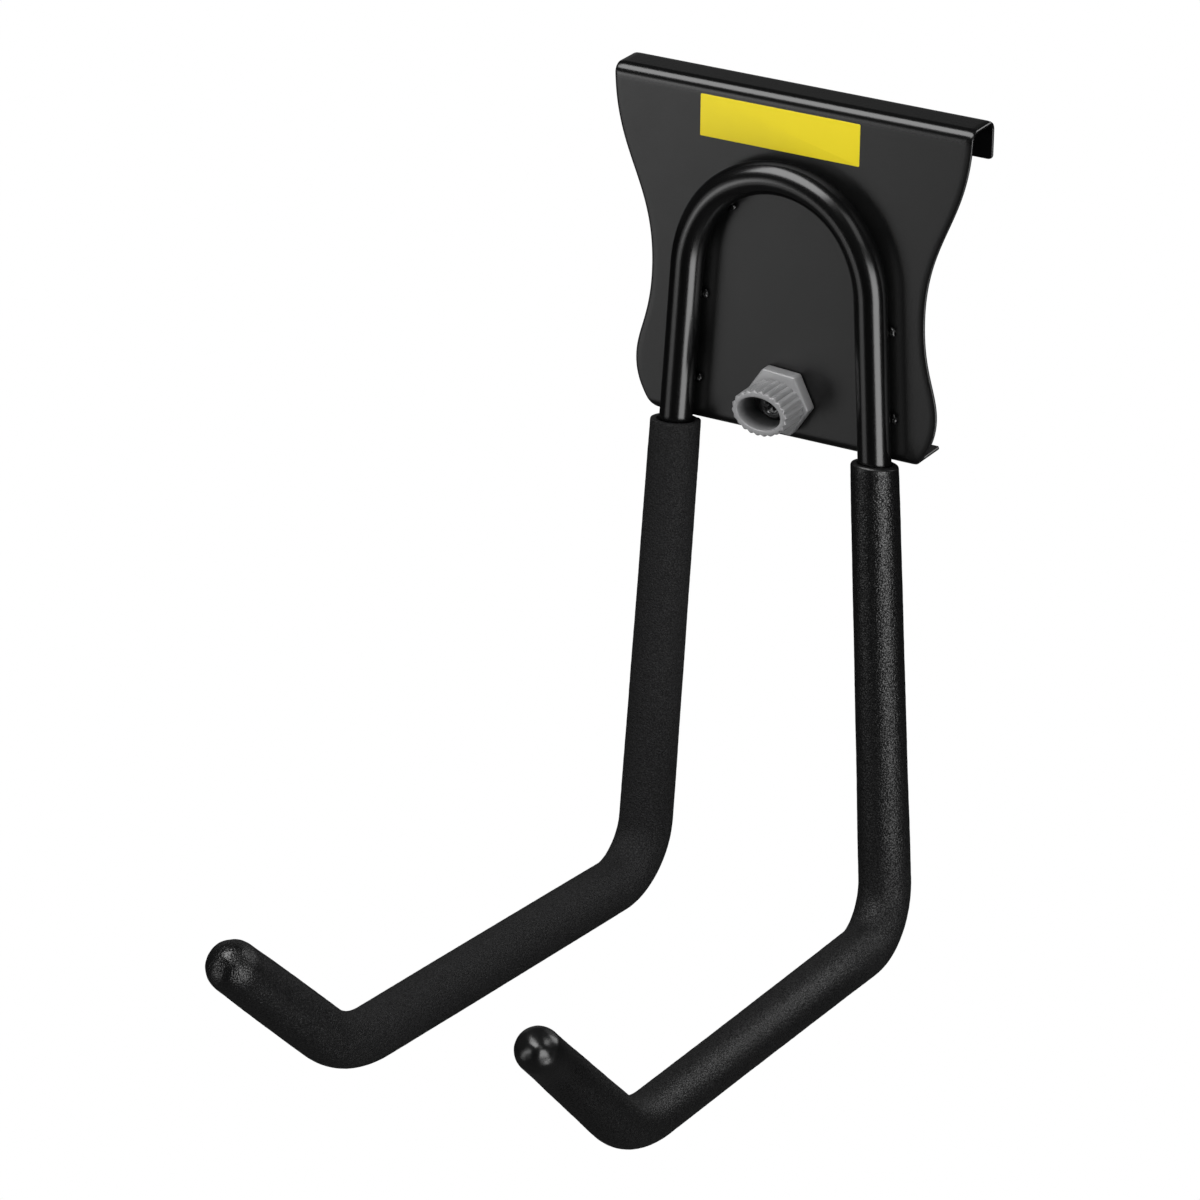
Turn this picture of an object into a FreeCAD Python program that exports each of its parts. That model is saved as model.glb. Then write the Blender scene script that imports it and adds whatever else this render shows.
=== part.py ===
import FreeCAD, Part
import math
import os

Vector = FreeCAD.Vector
RIGHT = Vector(1, 0, 0)
BACK = Vector(0, 1, 0)
UP = Vector(0, 0, 1)

# Garage utility hook: a folded steel bracket that hangs on a wall rail, with a bent double
# arm of round rod in foam sleeves, and a locking screw near its lower edge.
# The origin is in the middle of the top lip's underside, which sits on the rail.
# +X is to the right, +Y into the wall and +Z up. All lengths are in millimetres.

# Folded sheet bracket
sheet = 1.2
plate_height = 106.7
lip_half_width = 59.0
channel_depth = 12.0
rear_flange_height = 12.3
fold_inner_radius = 2.0
flange_corner_radius = 1.5
foot_depth = 16.6
foot_corner_radius = 1.0

# Wavy side outline of the plate, heights above its lower edge
outline_bottom_half_width = 44.1
bulge_half_width = 50.5
bulge_height = 15.8
waist_half_width = 45.5
waist_height = 46.5
lower_corner_slope = 49.5
lower_corner_pull = 6.4
pull_below_bulge = 0.36
pull_above_bulge = 0.29
pull_below_waist = 0.55
pull_above_waist = 0.44
pull_below_lip = 0.47

# Bent round rod
rod_diameter = 10.0
arch_radius = 29.4
shoulder_radius = 38.0
shoulder_angle = 30.0
arch_label_gap = 1.5
leg_splay = 3.4
elbow_drop = 151.0
elbow_radius = 17.0
arm_reach = 164.9
arm_rise = 3.7
arm_splay = 1.6
tip_bend_radius = 42.0
tip_rise = 42.9
tip_splay = 3.3
rod_end_depth = 6.0

# Foam sleeves, their diameters at the top, the elbow, the tip's bend and the tip
left_sleeve_diameters = (15.4, 16.7, 16.6, 15.6)
right_sleeve_diameters = (14.6, 16.2, 15.2, 13.3)
left_tip_length = 79.2
right_tip_length = 83.2
sleeve_top_height = 0.6
sleeve_bore_gap = 0.15
sleeve_plate_gap = 0.3

# Welds between rod and plate, on each leg and on the arch
lower_weld_height = 14.0
upper_weld_drop = 10.7
arch_weld_angle = 46.0
bead_radius = 1.4
bead_half_length = 1.9
bead_offset = 4.2
bead_lift = 0.8

# Locking screw and its moulded knob
lock_height = 13.0
screw_diameter = 4.9
screw_length = 16.0
screw_head_diameter = 9.0
screw_head_height = 2.4
screw_head_round = 0.9
screw_tip_chamfer = 0.8
recess_width = 4.8
recess_slot = 1.1
recess_depth = 1.7
knob_turn = -3.5
knob_across_flats = 18.8
knob_flange_thickness = 4.5
knob_plate_gap = 0.3
knob_screw_gap = 0.15
knob_edge_chamfer = 0.25
barrel_length = 10.6
barrel_half_width = 9.3
barrel_half_height = 7.1
barrel_wall = 2.1
flute_count = 22
flute_radius = 1.2
flute_height = 0.55
nut_across_flats = 8.0
nut_thickness = 4.0
nut_chamfer = 0.4
nut_thread_gap = 0.05
plate_hole_gap = 0.3

# Adhesive label, plain
label_width = 52.6
label_height = 12.9
label_thickness = 0.2
label_shift = -3.4
label_top_gap = 4.2
label_corner_radius = 0.4

# Levels and planes that follow from the sizes above
front_y = -(channel_depth / 2 + sheet)
back_of_plate_y = front_y + sheet
rear_y = channel_depth / 2 + sheet
top_z = sheet
bottom_z = top_z - plate_height
fold_outer_radius = fold_inner_radius + sheet
rod_radius = rod_diameter / 2
rod_y = front_y - rod_radius
label_low = top_z - label_top_gap - label_height
arch_center_z = label_low - arch_label_gap - rod_radius - arch_radius
elbow_z = bottom_z - elbow_drop
lock_z = bottom_z + lock_height
far = 4 * plate_height


def rounded_edges(points, radii, closed=False):
    """Straight edges through the points, with a tangent arc of the given radius at each corner."""
    count = len(points)
    corners = range(count) if closed else range(1, count - 1)
    entry = {}
    leave = {}
    arcs = {}
    for i in corners:
        before = (points[i - 1] - points[i]).normalize()
        after = (points[(i + 1) % count] - points[i]).normalize()
        entry[i] = points[i]
        leave[i] = points[i]
        if radii[i] <= 0:
            continue
        half = before.getAngle(after) / 2
        entry[i] = points[i] + before * (radii[i] / math.tan(half))
        leave[i] = points[i] + after * (radii[i] / math.tan(half))
        inward = (before + after).normalize()
        middle = points[i] + inward * (radii[i] / math.sin(half) - radii[i])
        arcs[i] = Part.Arc(entry[i], middle, leave[i]).toShape()
    edges = []
    for i in range(count if closed else count - 1):
        j = (i + 1) % count
        start = leave.get(i, points[i])
        stop = entry.get(j, points[j])
        if (stop - start).Length > 1e-6:
            edges.append(Part.LineSegment(start, stop).toShape())
        if j in arcs:
            edges.append(arcs[j])
    return edges


def rounded_face(points, radii):
    return Part.Face(Part.Wire(Part.__sortEdges__(rounded_edges(points, radii, closed=True))))


def tube(edges, radius):
    """Round solid bar along a chain of tangent lines and arcs."""
    path = Part.Wire(edges)
    first = path.OrderedEdges[0]
    start = path.OrderedVertexes[0].Point
    at_start = first.valueAt(first.FirstParameter)
    forward = (at_start - start).Length < 1e-6
    heading = first.tangentAt(first.FirstParameter if forward else first.LastParameter)
    ring = Part.Wire(Part.makeCircle(radius, start, heading))
    return path.makePipeShell([ring], True, False)


def hexagon_prism(across_flats, thickness, y_start, z_center, turn):
    """Hexagonal block with corners left and right, grown towards the front from y_start."""
    corner_radius = across_flats / math.sqrt(3)
    corners = []
    for k in range(6):
        angle = math.radians(60 * k + turn)
        corners.append(Vector(corner_radius * math.cos(angle), y_start,
                              z_center + corner_radius * math.sin(angle)))
    face = Part.Face(Part.makePolygon(corners + [corners[0]]))
    return face.extrude(BACK * -thickness)


def front_cylinder(radius, y_start, y_end, z_center):
    """Round bar along Y between two depths, on the symmetry plane."""
    return Part.makeCylinder(radius, abs(y_end - y_start), Vector(0, min(y_start, y_end), z_center), BACK)


def bezier(*poles):
    curve = Part.BezierCurve()
    curve.setPoles(list(poles))
    return curve.toShape()


# Back plate: one sheet, folded at the top into a lip and a rear flange, and at the bottom
# into a foot. Its two sides follow a smooth wave.
def section_point(y, z):
    return Vector(0, y, z)


foot_rear_y = front_y + foot_depth
rear_flange_z = top_z - rear_flange_height
folded_section = rounded_face(
    [section_point(foot_rear_y, bottom_z),
     section_point(front_y, bottom_z),
     section_point(front_y, top_z),
     section_point(rear_y, top_z),
     section_point(rear_y, rear_flange_z),
     section_point(rear_y - sheet, rear_flange_z),
     section_point(rear_y - sheet, top_z - sheet),
     section_point(back_of_plate_y, top_z - sheet),
     section_point(back_of_plate_y, bottom_z + sheet),
     section_point(foot_rear_y, bottom_z + sheet)],
    [0, fold_outer_radius, fold_outer_radius, fold_outer_radius, 0,
     0, fold_inner_radius, fold_inner_radius, fold_inner_radius, 0])
folded_section.translate(RIGHT * -lip_half_width)
folded_strip = folded_section.extrude(RIGHT * 2 * lip_half_width)


def outline_point(half_width, height):
    return Vector(half_width, front_y - sheet, bottom_z + height)


def side_outline():
    """Right side of the plate from its lower edge to the lip, as three tangent curves."""
    rise = bulge_height
    slope = math.radians(lower_corner_slope)
    start = outline_point(outline_bottom_half_width, 0)
    bulge = outline_point(bulge_half_width, bulge_height)
    waist = outline_point(waist_half_width, waist_height)
    top = outline_point(lip_half_width, plate_height)
    to_waist = waist_height - bulge_height
    to_top = plate_height - waist_height
    first_pull = Vector(math.cos(slope), 0, math.sin(slope)) * lower_corner_pull
    return [bezier(start, start + first_pull, bulge - UP * pull_below_bulge * rise, bulge),
            bezier(bulge, bulge + UP * pull_above_bulge * to_waist,
                   waist - UP * pull_below_waist * to_waist, waist),
            bezier(waist, waist + UP * pull_above_waist * to_top,
                   top - UP * pull_below_lip * to_top, top)]


right_side = side_outline()
left_side = [edge.mirror(Vector(0, 0, 0), RIGHT) for edge in right_side]
top_right = outline_point(lip_half_width, plate_height)
top_left = outline_point(-lip_half_width, plate_height)
low_right = outline_point(outline_bottom_half_width, 0)
low_left = outline_point(-outline_bottom_half_width, 0)
cap = [Part.LineSegment(top_right, top_right + UP).toShape(),
       Part.LineSegment(top_right + UP, top_left + UP).toShape(),
       Part.LineSegment(top_left + UP, top_left).toShape()]
base = [Part.LineSegment(low_left, low_right).toShape()]
front_outline = Part.Face(Part.Wire(Part.__sortEdges__(right_side + cap + left_side + base)))
front_zone = front_outline.extrude(BACK * (sheet + fold_outer_radius))

fold_end_y = front_y + fold_outer_radius
rear_outline = rounded_face(
    [Vector(-lip_half_width, fold_end_y, rear_flange_z),
     Vector(lip_half_width, fold_end_y, rear_flange_z),
     Vector(lip_half_width, fold_end_y, top_z + 1),
     Vector(-lip_half_width, fold_end_y, top_z + 1)],
    [flange_corner_radius, flange_corner_radius, 0, 0])
rear_zone = rear_outline.extrude(BACK * far)
foot_outline = rounded_face(
    [Vector(-outline_bottom_half_width, fold_end_y, bottom_z),
     Vector(-outline_bottom_half_width, foot_rear_y, bottom_z),
     Vector(outline_bottom_half_width, foot_rear_y, bottom_z),
     Vector(outline_bottom_half_width, fold_end_y, bottom_z)],
    [0, foot_corner_radius, foot_corner_radius, 0])
foot_zone = foot_outline.extrude(UP * sheet)
plate_blank = folded_strip.common(front_zone.fuse([rear_zone, foot_zone]))
plate_hole_radius = screw_diameter / 2 + plate_hole_gap
plate_hole = front_cylinder(plate_hole_radius, front_y - sheet, back_of_plate_y + sheet, lock_z)
back_plate = plate_blank.cut(plate_hole).removeSplitter()


# Hook rod: one length of round bar, bent into an arch on the plate and into two arms
# that run forward and turn up at their tips. The arch is flatter at its two shoulders.
splay = math.radians(leg_splay)
shoulder_turn = math.radians(shoulder_angle)
shoulder_center_x = -(shoulder_radius - arch_radius) * math.cos(shoulder_turn)
shoulder_center_z = arch_center_z - (shoulder_radius - arch_radius) * math.sin(shoulder_turn)


def on_arch(side, angle):
    """Point on the arch's centre line; the angle is from the side's direction, in radians."""
    return Vector(side * arch_radius * math.cos(angle), rod_y, arch_center_z + arch_radius * math.sin(angle))


def on_shoulder(side, angle):
    return Vector(side * (shoulder_center_x + shoulder_radius * math.cos(angle)), rod_y,
                  shoulder_center_z + shoulder_radius * math.sin(angle))


tangent_x = on_shoulder(1, splay).x
tangent_z = on_shoulder(1, splay).z


def leg_point(side, z):
    """Point on a leg's centre line at the given height; side is -1 for left, 1 for right."""
    return Vector(side * (tangent_x + (tangent_z - z) * math.tan(splay)), rod_y, z)


def arm_corners(side):
    """Corner points of one arm: elbow, foot of the upturned tip, and the tip's direction."""
    elbow = leg_point(side, elbow_z)
    knee = elbow + Vector(side * arm_reach * math.tan(math.radians(arm_splay)), -arm_reach,
                          arm_reach * math.tan(math.radians(arm_rise)))
    rise = math.radians(tip_rise)
    turn = math.radians(tip_splay)
    direction = Vector(side * math.sin(turn) * math.cos(rise), -math.cos(turn) * math.cos(rise),
                       math.sin(rise))
    return elbow, knee, direction


def arm_edges(side, start_z, end_length):
    """Chain of edges from a height on the leg to a length along the tip."""
    elbow, knee, direction = arm_corners(side)
    points = [leg_point(side, start_z), elbow, knee, knee + direction * end_length]
    return rounded_edges(points, [0, elbow_radius, tip_bend_radius, 0])


def reversed_chain(edges):
    return [edge.reversed() for edge in reversed(edges)]


sleeve_sizes = {-1: (left_sleeve_diameters, left_tip_length),
                1: (right_sleeve_diameters, right_tip_length)}


def rod_end_length(side):
    return sleeve_sizes[side][1] - rod_end_depth


def shoulder(side):
    middle = (splay + shoulder_turn) / 2
    return Part.Arc(on_arch(side, shoulder_turn), on_shoulder(side, middle), on_shoulder(side, splay)).toShape()


crown = Part.Arc(on_arch(-1, shoulder_turn), on_arch(1, math.pi / 2), on_arch(1, shoulder_turn)).toShape()
left_chain = reversed_chain([shoulder(-1)] + arm_edges(-1, tangent_z, rod_end_length(-1)))
right_chain = [shoulder(1)] + arm_edges(1, tangent_z, rod_end_length(1))
hook_rod = tube(left_chain + [crown] + right_chain, rod_radius)


# Foam sleeves: a tube on each arm from the plate's lower edge to the tip, closed there by
# a round end, with its back pressed in where it meets the plate. Its thickness changes
# along the arm, as the foam was pulled on.
def straight_taper(edge, start_radius, end_radius):
    start = edge.Vertexes[0].Point
    end = edge.Vertexes[-1].Point
    if abs(start_radius - end_radius) < 1e-6:
        return Part.makeCylinder(start_radius, edge.Length, start, end - start)
    return Part.makeCone(start_radius, end_radius, edge.Length, start, end - start)


def foam_sleeve(side):
    diameters, tip_length = sleeve_sizes[side]
    at_top, at_elbow, at_bend, at_tip = [diameter / 2 for diameter in diameters]
    top_height = bottom_z + sleeve_top_height
    leg, elbow_arc, arm, bend_arc, tip = arm_edges(side, top_height, tip_length - at_tip)
    dome = Part.makeSphere(at_tip, tip.Vertexes[-1].Point)
    outer = straight_taper(leg, at_top, at_elbow).fuse(
        [tube([elbow_arc], at_elbow), straight_taper(arm, at_elbow, at_bend),
         tube([bend_arc], at_bend), straight_taper(tip, at_bend, at_tip), dome])
    bore_length = rod_end_length(side) + sleeve_bore_gap
    bore = tube(arm_edges(side, top_height + sheet, bore_length), rod_radius + sleeve_bore_gap)
    pressed = Part.makeBox(far, far, far, Vector(-far / 2, front_y - sleeve_plate_gap,
                                                 bottom_z - sleeve_plate_gap))
    return outer.removeSplitter().cut(bore.fuse(pressed))


left_sleeve = foam_sleeve(-1)
right_sleeve = foam_sleeve(1)


# Weld beads: short beads in the corner between rod and plate, on both sides of each leg and
# on the inner side of the arch.
def weld_bead(center, along):
    """Short bar with round ends along the rod, trimmed to the corner that it fills."""
    half = along * (bead_half_length - bead_radius)
    bar = Part.makeCylinder(bead_radius, 2 * half.Length, center - half, along)
    ends = [Part.makeSphere(bead_radius, center - half), Part.makeSphere(bead_radius, center + half)]
    front_half = Part.makeBox(far, far, far, Vector(-far / 2, front_y - far, -far / 2))
    return bar.fuse(ends).removeSplitter().common(front_half).cut(hook_rod)


def beads_beside(rod_center, normal_angle, ways):
    """Beads beside the rod; the angle is of the rod's normal, in radians, and a way is 1 or -1."""
    normal = Vector(math.cos(normal_angle), 0, math.sin(normal_angle))
    along = Vector(-math.sin(normal_angle), 0, math.cos(normal_angle))
    row = []
    for way in ways:
        center = rod_center + normal * (way * bead_offset)
        center.y = front_y - bead_lift
        row.append(weld_bead(center, along))
    return row


beads = []
arch_weld_turn = math.radians(arch_weld_angle)
for side in (-1, 1):
    for level in (bottom_z + lower_weld_height, tangent_z - upper_weld_drop):
        beads += beads_beside(leg_point(side, level), side * splay, (-1, 1))
    beads += beads_beside(on_arch(side, arch_weld_turn), side * arch_weld_turn, (-side,))
weld_beads = Part.makeCompound(beads)


# Label: a thin plain sticker on the plate, above the arch.
label_left = label_shift - label_width / 2
label_face = rounded_face(
    [Vector(label_left, front_y, label_low),
     Vector(label_left + label_width, front_y, label_low),
     Vector(label_left + label_width, front_y, label_low + label_height),
     Vector(label_left, front_y, label_low + label_height)],
    [label_corner_radius] * 4)
label = label_face.extrude(BACK * -label_thickness)


# Lock knob: moulded hexagon flange with a hollow oval barrel, fluted for the fingers. The
# screw's head sits on the floor of the hollow.
knob_rear_y = front_y - knob_plate_gap
knob_floor_y = knob_rear_y - knob_flange_thickness
knob_rim_y = knob_floor_y - barrel_length


def oval_prism(half_width, half_height, y_start, y_end):
    oval = Part.Ellipse(Vector(0, y_start, 0), half_width, half_height)
    edge = oval.toShape()
    edge.rotate(Vector(0, y_start, 0), RIGHT, 90)
    edge.rotate(Vector(0, y_start, 0), BACK, -knob_turn)
    edge.translate(UP * lock_z)
    return Part.Face(Part.Wire(edge)).extrude(BACK * (y_end - y_start))


def oval_stations(half_width, half_height, count):
    """Points at equal spacing round an ellipse, as (x, z) pairs."""
    steps = 720
    walk = [(half_width * math.cos(2 * math.pi * k / steps),
             half_height * math.sin(2 * math.pi * k / steps)) for k in range(steps + 1)]
    length = [0.0]
    for a, b in zip(walk, walk[1:]):
        length.append(length[-1] + math.dist(a, b))
    stations = []
    k = 0
    for n in range(count):
        target = length[-1] * (n + 0.5) / count
        while length[k + 1] < target:
            k += 1
        stations.append(walk[k])
    return stations


def fluted_barrel():
    """Oval core with one rounded rib at each station round it."""
    core = oval_prism(barrel_half_width - flute_height, barrel_half_height - flute_height,
                      knob_floor_y, knob_rim_y)
    inset = flute_radius
    turn = math.radians(knob_turn)
    ribs = []
    for x, z in oval_stations(barrel_half_width - inset, barrel_half_height - inset, flute_count):
        rib = Part.makeCylinder(flute_radius, barrel_length,
                                Vector(x * math.cos(turn) - z * math.sin(turn), knob_rim_y,
                                       lock_z + x * math.sin(turn) + z * math.cos(turn)), BACK)
        ribs.append(rib)
    return core.fuse(ribs).removeSplitter()


hexagon = hexagon_prism(knob_across_flats, knob_flange_thickness, knob_rear_y, lock_z, knob_turn)
hexagon = hexagon.makeChamfer(knob_edge_chamfer, hexagon.Edges)
hollow = oval_prism(barrel_half_width - barrel_wall, barrel_half_height - barrel_wall,
                    knob_floor_y, knob_rim_y - 1)
screw_way = front_cylinder(screw_diameter / 2 + knob_screw_gap, knob_rear_y + 1, knob_floor_y - 1, lock_z)
lock_knob = hexagon.fuse(fluted_barrel()).cut(hollow).cut(screw_way).removeSplitter()


# Lock screw: pan head with a cross recess, and a shank through knob, plate and nut, whose
# end bears on the rail.
head_face_y = knob_floor_y - screw_head_height
shank_end_y = knob_floor_y + screw_length
shank_radius = screw_diameter / 2
head_radius = screw_head_diameter / 2


def lathe_point(radius, y):
    return Vector(radius, y, lock_z)


screw_profile = rounded_face(
    [lathe_point(0, head_face_y),
     lathe_point(head_radius, head_face_y),
     lathe_point(head_radius, knob_floor_y),
     lathe_point(shank_radius, knob_floor_y),
     lathe_point(shank_radius, shank_end_y - screw_tip_chamfer),
     lathe_point(shank_radius - screw_tip_chamfer, shank_end_y),
     lathe_point(0, shank_end_y)],
    [0, screw_head_round, 0, 0, 0, 0, 0])
screw_body = screw_profile.revolve(lathe_point(0, 0), BACK, 360)


def cross_recess():
    """Two crossed slots that taper to the recess's floor."""
    cone = Part.makeCone(recess_width / 2, recess_slot / 2, recess_depth,
                         lathe_point(0, head_face_y), BACK)
    bars = []
    for quarter in (45, 135):
        bar = Part.makeBox(recess_width, recess_depth, recess_slot,
                           Vector(-recess_width / 2, head_face_y, lock_z - recess_slot / 2))
        bar.rotate(lathe_point(0, 0), BACK, quarter)
        bars.append(bar)
    return cone.common(bars[0].fuse(bars[1]))


lock_screw = screw_body.cut(cross_recess())


# Lock nut: a plain nut fixed on the plate's back, which takes the screw's thread.
nut_block = hexagon_prism(nut_across_flats, nut_thickness, back_of_plate_y + nut_thickness, lock_z, 0)
nut_round = Part.makeCone(nut_across_flats / 2 + nut_chamfer + nut_thickness, nut_across_flats / 2,
                          nut_thickness + nut_chamfer, lathe_point(0, back_of_plate_y), BACK)
nut_hole = front_cylinder(shank_radius + nut_thread_gap, back_of_plate_y - 1,
                          back_of_plate_y + nut_thickness + 1, lock_z)
lock_nut = nut_block.common(nut_round).cut(nut_hole)


parts = {
    "back_plate": back_plate,
    "hook_rod": hook_rod,
    "left_sleeve": left_sleeve,
    "right_sleeve": right_sleeve,
    "weld_beads": weld_beads,
    "label": label,
    "lock_knob": lock_knob,
    "lock_screw": lock_screw,
    "lock_nut": lock_nut,
}
os.makedirs("parts", exist_ok=True)
for name, shape in parts.items():
    box = shape.BoundBox
    print(f"{name}: solids {len(shape.Solids)}, valid {shape.isValid()}, volume {shape.Volume:.1f}, "
          f"X {box.XMin:.2f} {box.XMax:.2f}, Y {box.YMin:.2f} {box.YMax:.2f}, Z {box.ZMin:.2f} {box.ZMax:.2f}")
    shape.exportStep(f"parts/{name}.step")
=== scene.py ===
import bmesh
import bpy
import math
from bisect import bisect
from mathutils import Matrix, Vector, geometry, noise


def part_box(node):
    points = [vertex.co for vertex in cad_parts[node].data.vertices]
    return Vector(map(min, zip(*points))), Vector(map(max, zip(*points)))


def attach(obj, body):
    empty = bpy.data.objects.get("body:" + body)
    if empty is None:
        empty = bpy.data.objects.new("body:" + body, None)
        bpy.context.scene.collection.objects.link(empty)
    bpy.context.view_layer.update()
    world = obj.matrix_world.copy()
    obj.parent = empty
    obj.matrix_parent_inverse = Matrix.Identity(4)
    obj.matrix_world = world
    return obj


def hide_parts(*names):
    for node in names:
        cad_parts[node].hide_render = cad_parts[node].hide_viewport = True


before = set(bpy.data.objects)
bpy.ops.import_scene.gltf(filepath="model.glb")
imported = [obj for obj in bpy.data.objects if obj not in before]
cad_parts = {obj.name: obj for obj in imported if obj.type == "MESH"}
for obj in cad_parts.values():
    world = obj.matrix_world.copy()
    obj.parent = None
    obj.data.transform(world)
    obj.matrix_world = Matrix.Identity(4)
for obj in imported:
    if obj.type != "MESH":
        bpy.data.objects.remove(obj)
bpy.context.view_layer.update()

# Folded bracket: one strip of sheet steel with wavy sides, folded into a foot at the bottom and
# into a lip and a short rear flange at the top. It is painted satin black, cut edges included,
# and paint and tumbling leave its arrises slightly round.
mm = 0.001
sheet = 1.2 * mm
fold_radius = 3.2 * mm
arris_radius = 0.45 * mm
least_arris = 0.02 * mm
roll_depth = 0.2 * mm
roll_width = 2.3 * mm
inner_face_start = 0.4 * mm
flange_corner = 1.5 * mm
foot_corner = 1.0 * mm
screw_hole_radius = 2.75 * mm
fold_steps = 12
fold_margin = 0.5 * mm
plate_low, plate_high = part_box("back_plate")
flange_low_z = plate_high.z - 12.3 * mm
flange_rear_y = plate_low.y + 14.4 * mm
foot_half_width = 44.1 * mm
lip_half_width = plate_high.x

# Each side is three smooth curves, as (half width, height above the lower edge) in millimetres.
wave_curves = [
    [(44.1, 0), (48.25, 4.86), (50.5, 10.11), (50.5, 15.8)],
    [(50.5, 15.8), (50.5, 24.7), (45.5, 29.62), (45.5, 46.5)],
    [(45.5, 46.5), (45.5, 72.99), (59.0, 78.41), (59.0, 106.7)],
]
curve_points = 48
wave = []
for curve in wave_curves:
    knots = [Vector((half * mm, height * mm)) for half, height in curve]
    wave += [(point.y, point.x) for point in geometry.interpolate_bezier(*knots, curve_points)]

# Rows of points on the outer face near its edges, in millimetres from the edge.
face_rows = (6, 3.6, 2.4, 2.0, 1.6, 1.2, 0.9, 0.65)


def clamped(share):
    """Share kept between none and all."""
    return min(max(share, 0), 1)


def half_width_at(height):
    """Half width of the plate at a height above its lower edge."""
    upper = min(max(bisect(wave, (height, 0)), 1), len(wave) - 1)
    (low_z, low_w), (high_z, high_w) = wave[upper - 1], wave[upper]
    if high_z - low_z < 1e-9:
        return high_w
    return low_w + clamped((height - low_z) / (high_z - low_z)) * (high_w - low_w)


def roll_drop(distance):
    """How far the punched edge has pulled the outer face down, at a distance from the edge."""
    return roll_depth * max(0, 1 - distance / roll_width) ** 2


def turned(start, end, steps):
    """Angles from start to end, in radians, both included."""
    return [math.radians(start + (end - start) * k / steps) for k in range(steps + 1)]


def end_rows(half_width, corner):
    """Rows near a free end of the strip: distance from the end, half width and inset."""
    rows = []
    for angle in turned(90, 0, 12):
        distance = corner * (1 - math.sin(angle))
        inset = 0
        if distance < arris_radius:
            inset = arris_radius - math.sqrt(arris_radius**2 - (arris_radius - distance) ** 2)
        rows.append((distance, half_width - corner * (1 - math.cos(angle)), inset))
    return rows


def sheet_ring(y, z, normal, half_width, inset):
    """Closed ring of points round the strip where its outer face passes through (y, z)."""
    radius = max(arris_radius - inset, least_arris)
    half = half_width - inset
    outer = [(half - distance * mm, inset + roll_drop(distance * mm)) for distance in face_rows]
    lowest = inset + roll_drop(0)
    reach = sheet - inset - radius
    outer += [(half - radius + radius * math.sin(angle), lowest + radius * (1 - math.cos(angle)))
              for angle in turned(10, 90, 4)]
    inner = [(half - radius + radius * math.cos(angle), reach + radius * math.sin(angle))
             for angle in turned(0, 90, 4)]
    inner.append((half - radius - inner_face_start, sheet - inset))
    right = outer + inner
    ring = right + [(-x, deep) for x, deep in reversed(right)]
    return [(x, y - normal[0] * deep, z - normal[1] * deep) for x, deep in ring]


def new_object(name, data):
    """Object with the given mesh, curve, lamp or camera, placed in the scene."""
    obj = bpy.data.objects.new(name, data)
    bpy.context.scene.collection.objects.link(obj)
    return obj


def loft(name, rings, closed_ends=True):
    """Mesh object through rings with the same number of points, closed at both ends or open."""
    count = len(rings[0])
    verts = [point for ring in rings for point in ring]
    faces = []
    for row in range(len(rings) - 1):
        for k in range(count):
            after = (k + 1) % count
            faces.append((row * count + k, row * count + after,
                          (row + 1) * count + after, (row + 1) * count + k))
    if closed_ends:
        faces.append(tuple(range(count)))
        faces.append(tuple(range(len(verts) - count, len(verts))))
    mesh = bpy.data.meshes.new(name)
    mesh.from_pydata(verts, [], faces)
    return new_object(name, mesh)


def clean_mesh(obj, smooth=True):
    """Merges doubled points and points every face outwards."""
    build = bmesh.new()
    build.from_mesh(obj.data)
    bmesh.ops.remove_doubles(build, verts=build.verts, dist=1e-6)
    bmesh.ops.dissolve_degenerate(build, edges=build.edges, dist=1e-7)
    bmesh.ops.recalc_face_normals(build, faces=build.faces)
    for face in build.faces:
        face.smooth = smooth
    build.to_mesh(obj.data)
    build.free()


def bake_modifiers(obj):
    """Turns an object and its modifiers into a plain mesh."""
    bpy.context.view_layer.update()
    evaluated = obj.evaluated_get(bpy.context.evaluated_depsgraph_get())
    mesh = bpy.data.meshes.new_from_object(evaluated)
    obj.modifiers.clear()
    obj.data = mesh


def combine(obj, other, operation):
    """Joins, cuts or trims a closed object with another one, which is then removed."""
    solid = obj.modifiers.new("Combine", "BOOLEAN")
    solid.operation = operation
    solid.solver = "EXACT"
    solid.object = other
    bake_modifiers(obj)
    bpy.data.objects.remove(other)


fold_center = fold_radius
front_y = plate_low.y
foot_z = plate_low.z
lip_z = plate_high.z
rings = []
for distance, half, inset in end_rows(foot_half_width, foot_corner):
    rings.append(sheet_ring(plate_high.y - distance, foot_z, (0, -1), half, inset))
fold_end_y = front_y + fold_center + fold_margin
rings.append(sheet_ring(fold_end_y, foot_z, (0, -1), foot_half_width, 0))
for angle in turned(0, 90, fold_steps):
    y = front_y + fold_center - fold_radius * math.sin(angle)
    z = foot_z + fold_center - fold_radius * math.cos(angle)
    normal = (-math.sin(angle), -math.cos(angle))
    rings.append(sheet_ring(y, z, normal, half_width_at(z - foot_z), 0))
panel_rows = 72
panel_start = foot_z + fold_center
panel_end = lip_z - fold_center
panel_height = panel_end - panel_start
panel_levels = [panel_start + fold_margin]
panel_levels += [panel_start + panel_height * k / panel_rows for k in range(1, panel_rows)]
panel_levels.append(panel_end - fold_margin)
for z in panel_levels:
    rings.append(sheet_ring(front_y, z, (-1, 0), half_width_at(z - foot_z), 0))
for angle in turned(0, 90, fold_steps):
    y = front_y + fold_center - fold_radius * math.cos(angle)
    z = lip_z - fold_center + fold_radius * math.sin(angle)
    normal = (-math.cos(angle), math.sin(angle))
    rings.append(sheet_ring(y, z, normal, half_width_at(z - foot_z), 0))
for y in (fold_end_y, flange_rear_y - fold_center - fold_margin):
    rings.append(sheet_ring(y, lip_z, (0, 1), lip_half_width, 0))
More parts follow.
